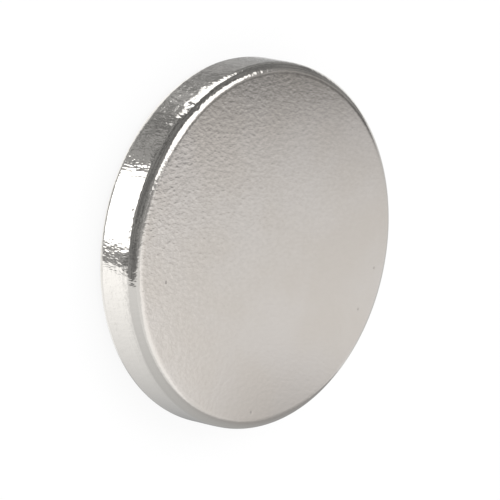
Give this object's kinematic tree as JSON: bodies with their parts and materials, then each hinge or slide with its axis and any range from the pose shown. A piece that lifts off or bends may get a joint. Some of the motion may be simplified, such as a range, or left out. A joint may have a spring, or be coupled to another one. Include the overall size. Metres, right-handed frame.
{
  "type": "disc magnet",
  "caption": "Flat round permanent magnet with rounded edges and a bright nickel-plated finish, magnetised through its thickness, for holding, latching and sensing.",
  "frame": {"origin": "centre of the lower pole face, which the disc lies on", "axes": "+Z along the disc's axis, out of the upper pole face; X and Y are equivalent"},
  "size_m": [0.02, 0.02, 0.003],
  "materials": {
    "nickel_plating": "satin"
  },
  "bodies": {
    "root": {"magnet_disc": "nickel_plating"}
  },
  "joints": []
}
